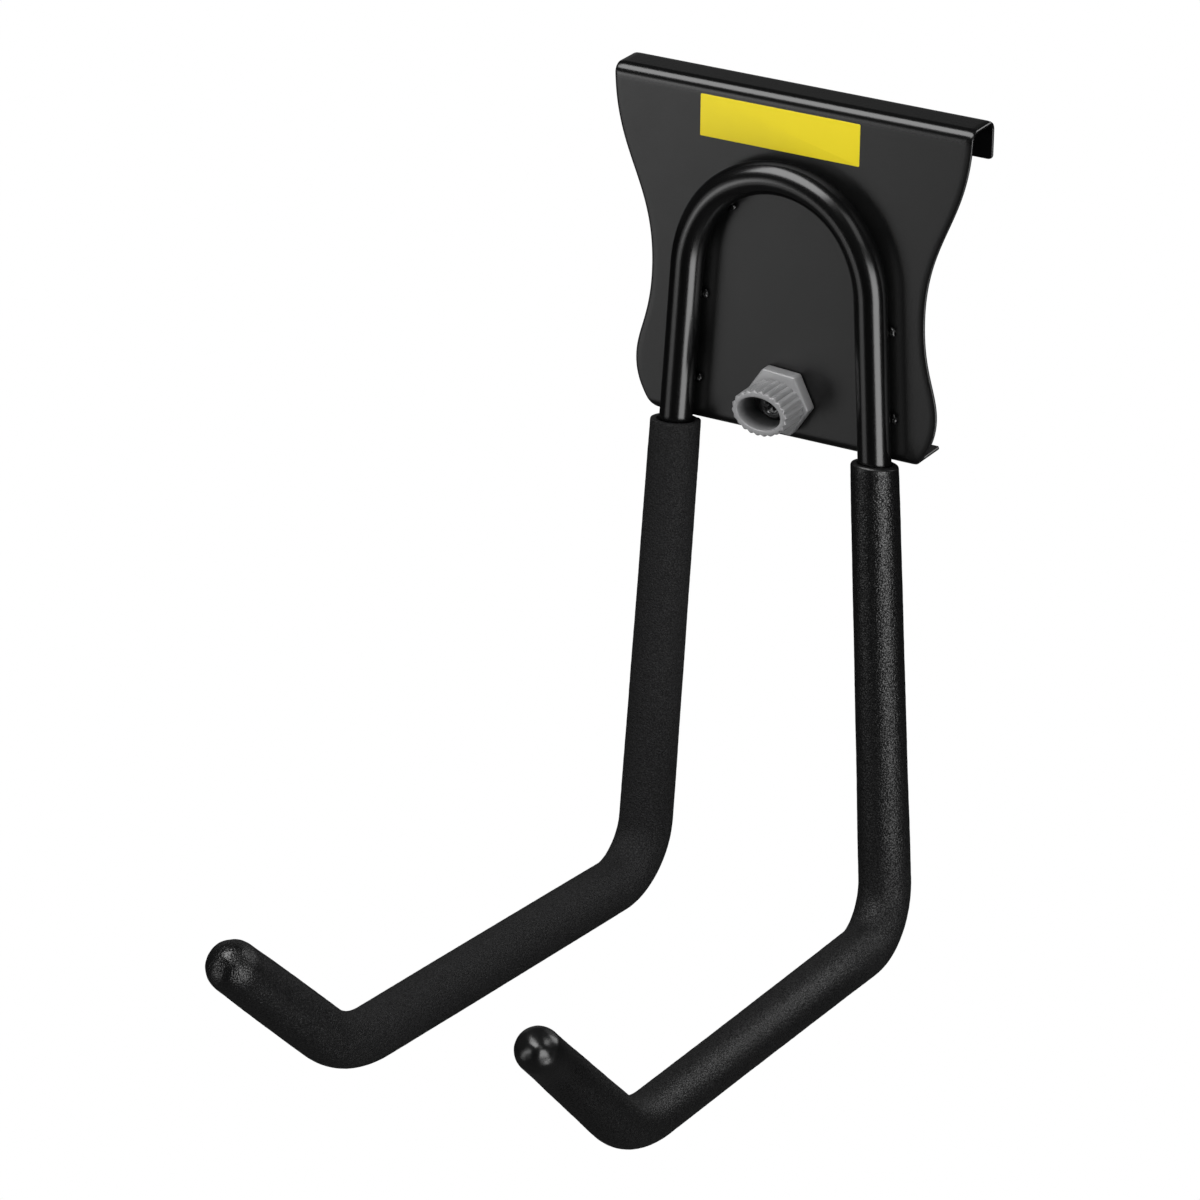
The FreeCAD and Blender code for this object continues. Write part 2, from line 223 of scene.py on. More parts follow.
for angle in turned(0, 90, fold_steps):
    y = flange_rear_y - fold_center + fold_radius * math.sin(angle)
    z = lip_z - fold_center + fold_radius * math.cos(angle)
    rings.append(sheet_ring(y, z, (math.sin(angle), math.cos(angle)), lip_half_width, 0))
rings.append(sheet_ring(flange_rear_y, panel_end - fold_margin, (1, 0), lip_half_width, 0))
for distance, half, inset in reversed(end_rows(lip_half_width, flange_corner)):
    rings.append(sheet_ring(flange_rear_y, flange_low_z + distance, (1, 0), half, inset))
bracket = loft("folded_bracket", rings)
clean_mesh(bracket)

nut_low, nut_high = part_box("lock_nut")
lock_z = (nut_low.z + nut_high.z) / 2


def front_rings(profile, around=48):
    """Rings round the screw's axis, from (y, radius) pairs."""
    return [[(radius * math.cos(2 * math.pi * k / around), y,
              lock_z + radius * math.sin(2 * math.pi * k / around)) for k in range(around)]
            for y, radius in profile]


hole = loft("hole", front_rings([(front_y - sheet, screw_hole_radius),
                                 (front_y + 2 * sheet, screw_hole_radius)]))
clean_mesh(hole)
combine(bracket, hole, "DIFFERENCE")
for face in bracket.data.polygons:
    face.use_smooth = True
bracket.data.set_sharp_from_angle(angle=math.radians(50))


def add_node(tree, kind, inputs, **settings):
    """New node; each input gets a value or is linked to another node's output."""
    node = tree.nodes.new(kind)
    for key, value in settings.items():
        setattr(node, key, value)
    for key, value in inputs.items():
        if isinstance(value, bpy.types.NodeSocket):
            tree.links.new(value, node.inputs[key])
        else:
            node.inputs[key].default_value = value
    return node


def add_noise(tree, place, size, detail):
    """Noise pattern of one grain size, fixed to the piece."""
    return add_node(tree, "ShaderNodeTexNoise", {
        "Scale": 1 / size, "Detail": detail, "Vector": place}).outputs["Fac"]


def add_range(tree, value, low, high, start=0, end=1):
    """Value that goes from low to high while the given one goes from start to end."""
    return add_node(tree, "ShaderNodeMapRange", {
        "Value": value, "From Min": start, "From Max": end, "To Min": low, "To Max": high,
    }).outputs["Result"]


def add_mix(tree, share, first, second, kind="FLOAT"):
    """Blend of two values or colours by a share."""
    return add_node(tree, "ShaderNodeMix", {"Factor": share, "A": first, "B": second},
                    data_type=kind).outputs["Result"]


def new_material(name, color, second_color, tone_size, roughness, specular):
    """Principled material whose colour drifts between two near tones over the surface."""
    material = bpy.data.materials.new(name)
    material.use_nodes = True
    tree = material.node_tree
    shader = tree.nodes["Principled BSDF"]
    shader.inputs["Specular IOR Level"].default_value = specular
    place = tree.nodes.new("ShaderNodeTexCoord").outputs["Object"]
    tone = add_noise(tree, place, tone_size, 3)
    tree.links.new(add_mix(tree, tone, (*color, 1), (*second_color, 1), "RGBA"),
                   shader.inputs["Base Color"])
    tree.links.new(add_range(tree, tone, *roughness), shader.inputs["Roughness"])
    return material, tree, shader, place


def add_bump(tree, shader, height, depth, strength=1):
    """Fine relief from a height field; depth is in metres."""
    bump = add_node(tree, "ShaderNodeBump", {
        "Strength": strength, "Distance": depth, "Height": height})
    tree.links.new(bump.outputs["Normal"], shader.inputs["Normal"])


def add_grain(tree, shader, place, size, depth):
    """Even, fine unevenness of a skin; size and depth are in metres."""
    add_bump(tree, shader, add_noise(tree, place, size, 2), depth)


def paint(obj, material):
    """Gives the whole object one material."""
    obj.data.materials.clear()
    obj.data.materials.append(material)


satin_black, tree, shader, place = new_material(
    "satin black paint", (0.002, 0.002, 0.0021), (0.003, 0.003, 0.0031),
    tone_size=9 * mm, roughness=(0.31, 0.36), specular=0.85)
# The lip has thicker, smoother paint than the panel.
lip_roughness = 0.22
lip_paint_start = lip_z - 5 * mm
lip_paint_full = lip_z - 3 * mm
coordinates = add_node(tree, "ShaderNodeSeparateXYZ", {"Vector": place})
near_lip = add_range(tree, coordinates.outputs["Z"], 0, 1, lip_paint_start, lip_paint_full)
panel_roughness = shader.inputs["Roughness"].links[0].from_socket
tree.links.new(add_mix(tree, near_lip, panel_roughness, lip_roughness),
               shader.inputs["Roughness"])
add_grain(tree, shader, place, 0.9 * mm, 0.012 * mm)
paint(bracket, satin_black)
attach(bracket, "bracket")
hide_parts("back_plate")


# Hook rod: one length of 10 mm round bar, bent into an arch on the plate and into two arms
# with upturned tips, welded on and dipped in gloss black enamel.
rod_radius = 5 * mm
rod_y = front_y - rod_radius
arch_radius = 29.4 * mm
shoulder_radius = 38 * mm
shoulder_angle = 30
shoulder_turn = math.radians(shoulder_angle)
leg_splay = math.radians(3.4)
arm_reach = 164.9 * mm
arm_rise = math.radians(3.7)
arm_splay = math.radians(1.6)
tip_rise = math.radians(42.9)
tip_splay = math.radians(3.3)
elbow_radius = 17 * mm
tip_bend_radius = 42 * mm
elbow_z = foot_z - 151 * mm
label_low, label_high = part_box("label")
label_gap = 1.5 * mm
arch_z = label_low.z - label_gap - rod_radius - arch_radius
shoulder_shift = shoulder_radius - arch_radius
shoulder_x = -shoulder_shift * math.cos(shoulder_turn)
shoulder_z = arch_z - shoulder_shift * math.sin(shoulder_turn)
spring_x = shoulder_x + shoulder_radius * math.cos(leg_splay)
spring_z = shoulder_z + shoulder_radius * math.sin(leg_splay)
tip_lengths = {-1: 79.2 * mm, 1: 83.05 * mm}
rod_end_depth = 6 * mm
end_chamfer = 0.5 * mm
route_step = 1.2 * mm
ring_step = 1.6 * mm
around_rod = 56


def leg_point(side, z):
    """Point on a leg's centre line; side is -1 for the left leg and 1 for the right one."""
    return Vector((side * (spring_x + (spring_z - z) * math.tan(leg_splay)), rod_y, z))


def bent(points, radii, step=route_step):
    """Dense points along straight lines whose corners are rounded by the given radii."""
    route = [points[0]]
    for before, corner, after, radius in zip(points, points[1:], points[2:], radii):
        a = (before - corner).normalized()
        b = (after - corner).normalized()
        half = a.angle(b) / 2
        middle = corner + (a + b).normalized() * (radius / math.sin(half))
        start = corner + a * (radius / math.tan(half))
        sweep = math.pi - 2 * half
        axis = b.cross(a).normalized()
        steps = max(8, round(radius * sweep / step))
        route += [middle + Matrix.Rotation(sweep * k / steps, 3, axis) @ (start - middle)
                  for k in range(steps + 1)]
    return dense(route + [points[-1]], step)


def dense(route, step):
    """The same line with points no further apart than the step."""
    result = [route[0]]
    for a, b in zip(route, route[1:]):
        pieces = max(1, math.ceil((b - a).length / step - 1e-6))
        result += [a.lerp(b, k / pieces) for k in range(1, pieces + 1)]
    return result


def arm_route(side, start_z, end_length):
    """Centre line of one arm, from a height on its leg to a length past the tip's bend."""
    elbow = leg_point(side, elbow_z)
    knee = elbow + Vector((side * math.tan(arm_splay), -1, math.tan(arm_rise))) * arm_reach
    tip = Vector((side * math.sin(tip_splay) * math.cos(tip_rise),
                  -math.cos(tip_splay) * math.cos(tip_rise), math.sin(tip_rise)))
    corners = [leg_point(side, start_z), elbow, knee, knee + tip * end_length]
    return bent(corners, [elbow_radius, tip_bend_radius])


def on_arch(side, angle):
    """Point on the arch's centre line, at an angle above the horizontal."""
    return Vector((side * arch_radius * math.cos(angle), rod_y,
                   arch_z + arch_radius * math.sin(angle)))


def shoulder(side):
    """Flatter arc from the arch down to the leg."""
    return [Vector((side * (shoulder_x + shoulder_radius * math.cos(angle)), rod_y,
                    shoulder_z + shoulder_radius * math.sin(angle)))
            for angle in turned(shoulder_angle, math.degrees(leg_splay), 16)]


def route_curve(name, route):
    """Curve object through the route's points."""
    data = bpy.data.curves.new(name, "CURVE")
    data.dimensions = "3D"
    spline = data.splines.new("POLY")
    spline.points.add(len(route) - 1)
    for point, spot in zip(spline.points, route):
        point.co = (*spot, 1)
    return new_object(name, data)


def route_length(route):
    """Length of a route from its first point to its last."""
    return sum((b - a).length for a, b in zip(route, route[1:]))


def new_tree(name, inputs):
    """Geometry tree with the given inputs, as name and kind, besides the mesh and its material."""
    tree = bpy.data.node_groups.new(name, "GeometryNodeTree")
    for key, kind in (("Geometry", "Geometry"), *inputs, ("Material", "Material")):
        tree.interface.new_socket(key, in_out="INPUT", socket_type="NodeSocket" + kind)
    tree.interface.new_socket("Geometry", in_out="OUTPUT", socket_type="NodeSocketGeometry")
    return tree, tree.nodes.new("NodeGroupInput").outputs


def end_tree(tree, given, mesh):
    """Ends a tree with smooth shading, real geometry and the given material."""
    smooth = add_node(tree, "GeometryNodeSetShadeSmooth", {0: mesh})
    realize = add_node(tree, "GeometryNodeRealizeInstances", {0: smooth.outputs[0]})
    coat = add_node(tree, "GeometryNodeSetMaterial", {
        "Geometry": realize.outputs[0], "Material": given["Material"]})
    add_node(tree, "NodeGroupOutput", {0: coat.outputs[0]})


def kept_number(tree, name):
    """Number kept under a name on the points of the mesh."""
    return add_node(tree, "GeometryNodeInputNamedAttribute", {"Name": name},
                    data_type="FLOAT").outputs["Attribute"]


def math_result(tree, operation, *values):
    """Result of a sum on numbers or sockets."""
    return add_node(tree, "ShaderNodeMath", dict(enumerate(values)),
                    operation=operation).outputs[0]


def vector_result(tree, operation, a, b):
    """Result of a sum on two vectors."""
    return add_node(tree, "ShaderNodeVectorMath", {0: a, 1: b}, operation=operation).outputs[0]


def scaled(tree, vector, factor):
    """Vector times a number."""
    return add_node(tree, "ShaderNodeVectorMath", {0: vector, "Scale": factor},
                    operation="SCALE").outputs[0]


def sweep_tree():
    """Places rings of points along a route, each point by its own distance, radius and turn."""
    tree, given = new_tree("Sweep along a route", (
        ("Route", "Object"), ("Swell size", "Float"), ("Swell height", "Float")))
    route = add_node(tree, "GeometryNodeObjectInfo", {"Object": given["Route"]})
    sample = add_node(tree, "GeometryNodeSampleCurve", {}, mode="LENGTH", use_all_curves=True)
    tree.links.new(route.outputs["Geometry"], sample.inputs["Curves"])
    tree.links.new(kept_number(tree, "along"), sample.inputs["Length"])
    normal = sample.outputs["Normal"]
    turn = kept_number(tree, "turn")
    across = vector_result(tree, "CROSS_PRODUCT", sample.outputs["Tangent"], normal)
    outward = vector_result(
        tree, "ADD",
        scaled(tree, normal, math_result(tree, "COSINE", turn)),
        scaled(tree, across, math_result(tree, "SINE", turn)))
    on_skin = vector_result(tree, "ADD", sample.outputs["Position"],
                            scaled(tree, outward, kept_number(tree, "radius")))
    waves = add_node(tree, "ShaderNodeTexNoise", {
        "Scale": math_result(tree, "DIVIDE", 1, given["Swell size"]), "Detail": 2,
        "Vector": on_skin})
    lift = math_result(tree, "SUBTRACT", waves.outputs[0], 0.5)
    lift = math_result(tree, "MULTIPLY", lift, given["Swell height"])
    lift = math_result(tree, "MULTIPLY", lift, kept_number(tree, "swell"))
    move = add_node(tree, "GeometryNodeSetPosition", {
        "Geometry": given["Geometry"],
        "Position": vector_result(tree, "ADD", on_skin, scaled(tree, outward, lift))})
    merge = add_node(tree, "GeometryNodeMergeByDistance", {
        "Geometry": move.outputs[0], "Distance": 1e-6})
    end_tree(tree, given, merge.outputs[0])
    return tree


def run_tree(obj, tree, values):
    """Runs a node tree on an object with named input values, and keeps the plain mesh."""
    modifier = obj.modifiers.new(tree.name, "NODES")
    modifier.node_group = tree
    for item in tree.interface.items_tree:
        if item.in_out == "INPUT" and item.name in values:
            modifier[item.identifier] = values[item.name]
    bake_modifiers(obj)


def store_values(obj, name, values):
    """Keeps one number for each point of an object under a name."""
    store = obj.data.attributes.new(name, "FLOAT", "POINT")
    store.data.foreach_set("value", values)


def swept(name, route, rows, around, values):
    """Closed skin along a route; a row is (distance, radius, swell share, gloss, grain)."""
    rings = [[(0, 0, 0)] * around for _ in rows]
    obj = loft(name, rings, closed_ends=False)
    for k, key in enumerate(("along", "radius", "swell", "gloss", "grain")):
        store_values(obj, key, [row[k] for row in rows for _ in range(around)])
    store_values(obj, "turn", [2 * math.pi * k / around for _ in rows for k in range(around)])
    guide = route_curve(name + "_route", route)
    values = dict(values, Route=guide)
    run_tree(obj, sweep, values)
    bpy.data.objects.remove(guide)
    clean_mesh(obj)
    return obj


sweep = sweep_tree()
gloss_black, tree, shader, place = new_material(
    "gloss black enamel", (0.0012, 0.0012, 0.0013), (0.002, 0.002, 0.0021),
    tone_size=14 * mm, roughness=(0.2, 0.24), specular=0.9)
add_grain(tree, shader, place, 2.2 * mm, 0.01 * mm)

left_route = arm_route(-1, spring_z, tip_lengths[-1] - rod_end_depth)
right_route = arm_route(1, spring_z, tip_lengths[1] - rod_end_depth)
crown = [on_arch(-1, angle) for angle in turned(shoulder_angle, 90, 40)]
crown += [on_arch(1, angle) for angle in turned(90, shoulder_angle, 40)][1:]
left_half = left_route[::-1] + shoulder(-1)[::-1][1:]
right_half = shoulder(1)[1:] + right_route[1:]
rod_route = dense(left_half + crown[1:] + right_half, route_step)
rod_length = route_length(rod_route)
rod_rows = [(0, 0), (0, rod_radius - end_chamfer), (end_chamfer, rod_radius)]
row_count = round(rod_length / ring_step)
rod_rows += [(end_chamfer + (rod_length - 2 * end_chamfer) * k / row_count, rod_radius)
             for k in range(1, row_count + 1)]
rod_rows += [(rod_length, rod_radius - end_chamfer), (rod_length, 0)]
rod = swept("bent_rod", rod_route, [(s, r, 0, 0, 0) for s, r in rod_rows], around_rod,
            {"Swell size": 5 * mm, "Swell height": 0.0, "Material": gloss_black})
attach(rod, "bracket")
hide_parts("hook_rod")


# Foam sleeves: a tube of black foam pulled over each arm, from just under the plate to a closed
# round end. The left one is matt up to its tip; the right one is pulled tighter, so it shines.
sleeve_top_z = foot_z + 0.6 * mm
bore_radius = 5.15 * mm
end_gap = 0.15 * mm
mouth_depth = 4 * mm
around_sleeve = 88
bore_rows = 110
dome_rows = 24
skin_step = 0.66 * mm
swell_size = 1.6 * mm
swell_height = 0.14 * mm

# The foam is cut at a slant, lower behind the rod, where the plate is.
cut_fade = 7 * mm
back_cut_z = foot_z - 0.3 * mm
plate_side_y = front_y + 0.7 * mm

# The closed tip has a small nub, in the left sleeve with ripples round it, and shallow folds.
tip_shell = (0.8, 1.5)
ripple_rate = 20
ripple_fade = 0.2
fold_size = 3.2 * mm
fold_height = 0.25 * mm
fold_start = 0.1
fold_span = 0.4
fold_sink = 0.6

# Radius of each sleeve's skin at distances from its top, both in millimetres.
left_profile = [
    (0, 7.62), (12, 7.74), (48, 7.87), (90, 8.09), (126, 8.29), (144, 8.35), (160, 8.33),
    (180, 8.37), (246, 8.37), (288, 8.29), (300, 8.24), (310, 8.3), (330, 8.3), (348, 8.22),
    (360, 8.12), (378, 7.86), (395, 7.8)]
right_profile = [
    (0, 7.15), (6, 7.23), (18, 7.31), (48, 7.45), (90, 7.66), (126, 7.95), (150, 8.1),
    (162, 8.08), (186, 7.93), (210, 7.82), (234, 7.71), (252, 7.64), (288, 7.62), (310, 7.62),
    (324, 7.47), (342, 7.18), (354, 7.0), (378, 6.65), (400, 6.62)]

foam_tone_size = 1.1 * mm
foam_shine_color = (0.004, 0.004, 0.0042)
pebble_size = 0.6 * mm
fine_size = pebble_size / 1.3
pore_edge = (0.42, 0.6)


def blended(pairs, value):
    """Value read off a line through (place, amount) pairs."""
    places = [pair[0] for pair in pairs]
    upper = min(max(bisect(places, value), 1), len(pairs) - 1)
    (a, low), (b, high) = pairs[upper - 1], pairs[upper]
    share = clamped((value - a) / (b - a))
    share = share * share * (3 - 2 * share)
    return low + share * (high - low)


def stored_value(tree, name):
    """Number kept under a name on the piece's points, for its material."""
    node = tree.nodes.new("ShaderNodeAttribute")
    node.attribute_name = name
    return node.outputs["Fac"]


def blend_color(tree, shader, share, color):
    """Blends the base colour into another one by a share."""
    socket = shader.inputs["Base Color"]
    mix = add_mix(tree, share, socket.links[0].from_socket, (*color, 1), "RGBA")
    tree.links.new(mix, socket)


def foam_material(name, colors, roughness, specular, pebble_depth, pore_size, pore_shine):
    """Black foam skin; its gloss attribute blends from the first to the second of each pair."""
    material, tree, shader, place = new_material(
        name, *colors, foam_tone_size, roughness, specular[0])
    gloss = stored_value(tree, "gloss")
    grain = stored_value(tree, "grain")
    tree.links.new(add_range(tree, gloss, *roughness), shader.inputs["Roughness"])
    blend_color(tree, shader, gloss, foam_shine_color)
    pores = add_range(tree, add_noise(tree, place, pore_size, 1), pore_shine, 1, *pore_edge)
    shine = math_result(tree, "MULTIPLY", add_range(tree, gloss, *specular),
                        add_mix(tree, grain, 1, pores))
    tree.links.new(shine, shader.inputs["Specular IOR Level"])
    pebbles = add_node(tree, "ShaderNodeTexVoronoi", {"Scale": 1 / pebble_size, "Vector": place})
    fine = add_noise(tree, place, fine_size, 2)
    height = math_result(tree, "SUBTRACT", fine, pebbles.outputs["Distance"])
    add_bump(tree, shader, height, pebble_depth, grain)
    return material


def tip_lift(point, tip_center, tip_radius, look):
    """How far the tip's skin stands out at a point by its nub, ripples and folds."""
    nub_way = Vector(look["nub way"]).normalized()
    outward = point - tip_center
    angle = outward.angle(nub_way)
    spread = angle / look["nub spread"]
    nub = look["nub height"] * math.exp(-spread * spread)
    ripple = look["ripple"] * math.cos(ripple_rate * angle)
    ripple *= math.exp(-ripple_fade * spread * spread)
    near_tip = clamped((outward.dot(nub_way) / tip_radius - fold_start) / fold_span)
    fold = fold_height * near_tip * (noise.noise(point / fold_size) - fold_sink)
    return nub + ripple + fold


def foam_sleeve(side, look, material):
    """One sleeve: up the bore from the rod's end, over the cut rim and down the skin."""
    profile = look["radius"]
    name = "left_foam_sleeve" if side < 0 else "right_foam_sleeve"
    tip_radius = profile[-1][1] * mm
    route = arm_route(side, sleeve_top_z, tip_lengths[side])
    total = route_length(route)
    bore_end = total - rod_end_depth + end_gap
    mouth_radius = look["mouth"]
    rim_round = look["rim"]

    def skin_row(s, radius, swell):
        return (s, radius, swell, blended(look["gloss"], s / mm), blended(look["grain"], s / mm))

    rows = [(bore_end, 0, 0, 0, 0), (bore_end, bore_radius, 0, 0, 0)]
    rows += [(bore_end + (mouth_depth - bore_end) * k / bore_rows, bore_radius, 0, 0, 0)
             for k in range(1, bore_rows + 1)]
    rows += [(1.5 * mm, bore_radius + 0.1 * mm, 0.2, 0.1, 1),
             (0.5 * mm, mouth_radius - 0.15 * mm, 0.6, 0.1, 1),
             (0.15 * mm, mouth_radius, 1, 0.1, 1),
             (0, mouth_radius + 0.15 * mm, 1, 0.1, 1)]
    rim_edge = blended(profile, 0) * mm - rim_round
    rows += [(0, mouth_radius + (rim_edge - mouth_radius) * share, 1, 0.2, 1)
             for share in (0.35, 0.7)]
    rows += [skin_row(rim_round * (1 - math.cos(angle)), rim_edge + rim_round * math.sin(angle), 1)
             for angle in turned(0, 90, 7)]
    dome_start = total - tip_radius
    count = round((dome_start - rim_round) / skin_step)
    for k in range(1, count + 1):
        s = rim_round + (dome_start - rim_round) * k / count
        rows.append(skin_row(s, blended(profile, s / mm) * mm, 1))
    for angle in turned(0, 90, dome_rows)[1:]:
        rows.append(skin_row(dome_start + tip_radius * math.sin(angle),
                             tip_radius * math.cos(angle), math.cos(angle)))
    obj = swept(name, route, rows, around_sleeve,
                {"Swell size": swell_size, "Swell height": swell_height, "Material": material})

    middle_x = leg_point(side, sleeve_top_z).x
    tip_center = route[-1] - (route[-1] - route[-2]).normalized() * tip_radius
    rise, front_slope, left_slope = look["cut"]
    for vertex in obj.data.vertices:
        x, y, z = vertex.co
        weight = clamped((z - sleeve_top_z) / cut_fade + 1)
        cut_z = back_cut_z + rise + left_slope * (middle_x - x)
        cut_z += front_slope * max(0, plate_side_y - y)
        vertex.co.z = z + weight * (cut_z - sleeve_top_z)
        if y > plate_side_y:
            vertex.co.z = min(vertex.co.z, back_cut_z)
        outward = vertex.co - tip_center
        if tip_shell[0] < outward.length / tip_radius < tip_shell[1]:
            lift = tip_lift(vertex.co, tip_center, tip_radius, look)
            vertex.co += outward.normalized() * lift
    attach(obj, "bracket")
    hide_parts("left_sleeve" if side < 0 else "right_sleeve")


# Gloss and grain are pairs of a distance from the sleeve's top in millimetres and a share.
left_look = {
    "radius": left_profile, "mouth": 5.75 * mm, "rim": 0.35 * mm, "cut": (0.45 * mm, 0.135, -0.09),
    "gloss": [(0, 0.1), (285, 0.1), (330, 0.45), (370, 0.55), (380, 0.7), (386, 1), (395, 1)],
    "grain": [(0, 1), (100, 1.2), (170, 1.6), (300, 1.6), (372, 1), (388, 0.5), (395, 0.4)],
    "nub way": (0.21, -0.73, 0.74), "nub spread": 0.38, "nub height": 0.48 * mm,
    "ripple": 0.02 * mm}
right_look = {
    "radius": right_profile, "mouth": 5.3 * mm, "rim": 0.9 * mm, "cut": (0.3 * mm, 0.165, 0.057),
    "gloss": [(0, 0.9), (60, 0.75), (110, 0.5), (135, 0.2), (165, 0.1), (190, 0.4), (310, 0.4),
              (345, 0.5), (376, 0.75), (386, 1), (400, 1)],
    "grain": [(0, 0.25), (2, 1), (110, 1.2), (165, 1.8), (200, 1.3), (350, 1.3), (368, 1),
              (380, 0.4), (388, 0.08), (400, 0.08)],
    "nub way": (0.42, -0.78, 0.48), "nub spread": 0.45, "nub height": 1.1 * mm, "ripple": 0}
left_foam = foam_material(
    "matt black foam", ((0.0135, 0.0135, 0.0138), (0.0235, 0.0235, 0.024)),
    roughness=(0.6, 0.24), specular=(0.22, 1.0),
    pebble_depth=0.2 * mm, pore_size=0.5 * mm, pore_shine=0.25)
right_foam = foam_material(
    "tight black foam", ((0.007, 0.007, 0.0072), (0.013, 0.013, 0.0132)),
    roughness=(0.55, 0.28), specular=(0.55, 0.95),
    pebble_depth=0.1 * mm, pore_size=0.42 * mm, pore_shine=0.15)
foam_sleeve(-1, left_look, left_foam)
foam_sleeve(1, right_look, right_foam)


# Weld beads: small lumps of weld in the corner between rod and plate, under the enamel, on both
# sides of each leg at two heights and on the arch's inner side.
bead_half = 1.6 * mm
bead_thick = 1.1 * mm
bead_offset = 4.6 * mm
arch_bead_reach = 1.15
bead_lift = 0.8 * mm
bead_unevenness = 0.9 * mm
bead_bump_size = 1.3 * mm
bead_bump_middle = 0.55
bead_turn = math.radians(41)
bead_levels = (foot_z + 14 * mm, spring_z - 10.7 * mm)
bead_places = []
for side in (-1, 1):
    for level in bead_levels:
        for way in (-1, 1):
            bead_places.append((leg_point(side, level), side * leg_splay, way))
    bead_places.append((on_arch(side, bead_turn), side * bead_turn, -side * arch_bead_reach))
points = []
for center, lean, way in bead_places:
    normal = Vector((math.cos(lean), 0, math.sin(lean)))
    point = center + normal * (way * bead_offset)
    point.y = front_y - bead_lift
    points.append((point, lean))


def bead_tree():
    """A lump at each point, lying along the rod, with an uneven skin."""
    tree, given = new_tree("Weld beads", (
        ("Length", "Float"), ("Thickness", "Float"), ("Unevenness", "Float")))
    ball = add_node(tree, "GeometryNodeMeshIcoSphere", {"Radius": 1, "Subdivisions": 4})
    size = add_node(tree, "ShaderNodeCombineXYZ", {
        "X": given["Thickness"], "Y": given["Thickness"], "Z": given["Length"]})
    turn = add_node(tree, "ShaderNodeCombineXYZ", {"Y": kept_number(tree, "lean")})
    lumps = add_node(tree, "GeometryNodeInstanceOnPoints", {
        "Points": given["Geometry"], "Instance": ball.outputs["Mesh"],
        "Rotation": turn.outputs[0], "Scale": size.outputs[0]})
    realize = add_node(tree, "GeometryNodeRealizeInstances", {0: lumps.outputs[0]})
    where = tree.nodes.new("GeometryNodeInputPosition")
    bumps = add_node(tree, "ShaderNodeTexNoise", {
        "Scale": 1 / bead_bump_size, "Vector": where.outputs[0]})
    lift = math_result(tree, "SUBTRACT", bumps.outputs[0], bead_bump_middle)
    lift = math_result(tree, "MULTIPLY", lift, given["Unevenness"])
    outward = tree.nodes.new("GeometryNodeInputNormal")
    move = add_node(tree, "GeometryNodeSetPosition", {
        "Geometry": realize.outputs[0], "Offset": scaled(tree, outward.outputs[0], lift)})
    end_tree(tree, given, move.outputs[0])
    return tree


mesh = bpy.data.meshes.new("weld_lumps")
mesh.from_pydata([point for point, lean in points], [], [])
welds = new_object("weld_lumps", mesh)
store_values(welds, "lean", [-lean for point, lean in points])
run_tree(welds, bead_tree(), {"Length": bead_half, "Thickness": bead_thick,
                              "Unevenness": bead_unevenness, "Material": gloss_black})
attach(welds, "bracket")
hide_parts("weld_beads")


# Label: a thin, plain sticker of yellow film with slightly rounded corners, pressed on the plate
# above the arch.
label_corner = 0.4 * mm
label_arris = 0.06 * mm
label_half = (label_high - label_low) / 2
label_middle = (label_high + label_low) / 2


def rounded_rectangle(half_x, half_z, corner, y):
    """Ring of points round the label's outline at one depth."""
    ring = []
    for quarter, (sx, sz) in enumerate(((1, 1), (-1, 1), (-1, -1), (1, -1))):
        for angle in turned(90 * quarter, 90 * quarter + 90, 6):
            ring.append((label_middle.x + sx * (half_x - corner) + corner * math.cos(angle), y,
                         label_middle.z + sz * (half_z - corner) + corner * math.sin(angle)))
    return ring


label_rings = [rounded_rectangle(label_half.x, label_half.z, label_corner, label_high.y)]
for angle in turned(0, 90, 3):
    inset = label_arris * (1 - math.cos(angle))
    y = label_low.y + label_arris * (1 - math.sin(angle))
    label_rings.append(rounded_rectangle(label_half.x - inset, label_half.z - inset,
                                         label_corner - inset, y))
sticker = loft("plain_label", label_rings)
clean_mesh(sticker)
sticker.data.set_sharp_from_angle(angle=math.radians(50))
yellow_film, tree, shader, place = new_material(
    "yellow film", (0.92, 0.74, 0.019), (0.96, 0.78, 0.023),
    tone_size=6 * mm, roughness=(0.42, 0.5), specular=0.5)
add_grain(tree, shader, place, 0.5 * mm, 0.01 * mm)
paint(sticker, yellow_film)
sticker.visible_glossy = False
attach(sticker, "bracket")
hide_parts("label")


# Lock knob: one moulding of grey plastic, a hexagon flange for a spanner and an oval, fluted
# barrel for the fingers, hollow so that the screw's head sits at its bottom.
knob_low, knob_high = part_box("lock_knob")
knob_turn = math.radians(-3.5)
across_flats = 18.8 * mm
flange_rear_plane = knob_high.y
flange_front_plane = flange_rear_plane - 4.5 * mm
rim_plane = knob_low.y
barrel_half_width = 9.3 * mm
barrel_half_height = 7.1 * mm
barrel_wall = 2.1 * mm
flute_count = 22
flute_depth = 0.55 * mm
flute_start = 0.5 * mm
rib_fullness = 0.6
rim_outer_round = 0.8 * mm
rim_inner_round = 0.35 * mm
# Painted shade in the hollow: the depth over which it darkens fully, its reach past the hollow's
# wall, and its colour.
hollow_shade_fade = 5 * mm
hollow_shade_margin = 0.3 * mm
hollow_shade_color = (0.07, 0.07, 0.072)
barrel_root = 1 * mm
flange_edge_round = 0.65 * mm
screw_way_radius = 2.6 * mm
overlap = 1 * mm
points_per_flute = 16


def oval_turns(half_width, half_height, count):
    """Ellipse angles at equal spacing along its rim."""
    steps = 1440
    walk = [(half_width * math.cos(2 * math.pi * k / steps),
             half_height * math.sin(2 * math.pi * k / steps)) for k in range(steps + 1)]
    reach = [0.0]
    for a, b in zip(walk, walk[1:]):
        reach.append(reach[-1] + math.dist(a, b))
    return [2 * math.pi * (bisect(reach, reach[-1] * n / count) - 0.5) / steps
            for n in range(count)]


